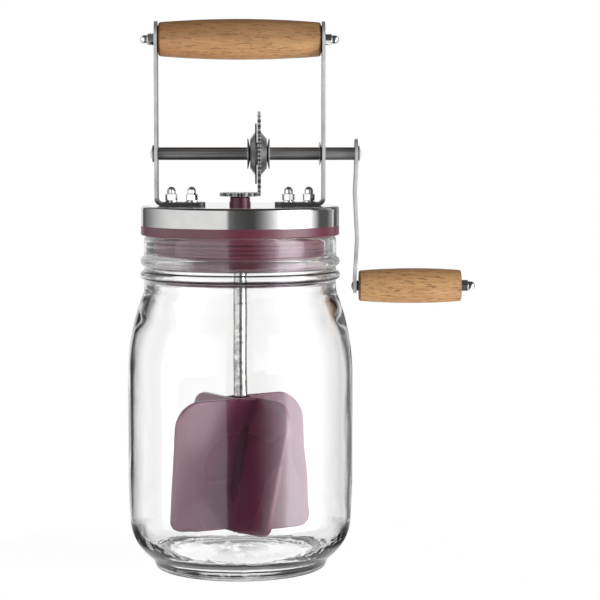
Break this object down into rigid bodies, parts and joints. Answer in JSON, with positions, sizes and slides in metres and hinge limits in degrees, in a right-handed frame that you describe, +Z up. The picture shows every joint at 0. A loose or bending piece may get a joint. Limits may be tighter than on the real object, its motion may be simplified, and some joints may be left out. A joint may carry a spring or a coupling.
{
  "type": "glass butter churn",
  "caption": "Clear glass jar whose steel and silicone lid carries a hand crank, a right angle gear pair, a bladed stirrer and a wooden carrying grip.",
  "frame": {"origin": "middle of the jar's foot, on the surface that it stands on", "axes": "+Z up along the jar's axis, +X towards the crank, +Y away from the pictured side"},
  "size_m": [0.1703, 0.1102, 0.268],
  "materials": {
    "jar_glass": "clear polished",
    "lid_steel": "brushed band, polished top",
    "strip_steel": "satin strip",
    "machined_steel": "drawn bar and stamped sheet",
    "nut_steel": "bright plated",
    "dark_washer": "matt",
    "silicone": "satin silicone",
    "bush_plastic": "satin moulded",
    "paddle_plastic": "satin moulded",
    "beech": "turned and oiled"
  },
  "bodies": {
    "jar": {"glass_jar": "jar_glass"},
    "lid": {"lid_cap": "lid_steel", "lid_seal": "silicone", "stem_bush": "bush_plastic", "bush_retainer": "machined_steel", "bracket_left": "strip_steel", "bracket_right": "strip_steel", "bracket_screws": "machined_steel", "bracket_washers": "nut_steel", "bracket_nuts": "nut_steel", "top_grip": "beech", "grip_rod": "machined_steel", "grip_washer_left": "dark_washer", "grip_washer_right": "dark_washer", "grip_nut_left": "nut_steel", "grip_nut_right": "nut_steel"},
    "crank": {"drive_axle": "machined_steel", "axle_end_washer": "machined_steel", "axle_clip": "machined_steel", "drive_gear": "machined_steel", "gear_backing_disc": "machined_steel", "gear_hub_left": "machined_steel", "gear_hub_right": "machined_steel", "gear_washer_left": "machined_steel", "gear_washer_right": "machined_steel", "crank_arm": "strip_steel", "crank_washer": "machined_steel", "knob_pin": "machined_steel", "knob_spacer": "dark_washer", "knob_nut": "nut_steel"},
    "knob": {"knob": "beech"},
    "stirrer": {"pinion": "machined_steel", "paddle_stem": "machined_steel", "stem_clip": "machined_steel", "paddle": "paddle_plastic", "paddle_screw": "machined_steel"}
  },
  "joints": [
    {"name": "lid_lift", "type": "slide", "parent": "jar", "child": "lid", "axis": [0, 0, 1], "range_m": [0, 0.16]},
    {"name": "crank_turn", "type": "hinge", "parent": "lid", "child": "crank", "pos_m": [0, 0, 0.20285], "axis": [1, 0, 0], "continuous": true},
    {"name": "knob_turn", "type": "hinge", "parent": "crank", "child": "knob", "pos_m": [0.0831, 0, 0.13825], "axis": [1, 0, 0], "continuous": true},
    {"name": "stirrer_turn", "type": "hinge", "parent": "lid", "child": "stirrer", "pos_m": [0, 0, 0.1], "axis": [0, 0, 1], "continuous": true}
  ],
  "couplings": [
    {"joint": "stirrer_turn", "follows": "crank_turn", "ratio": 2.1429}
  ]
}
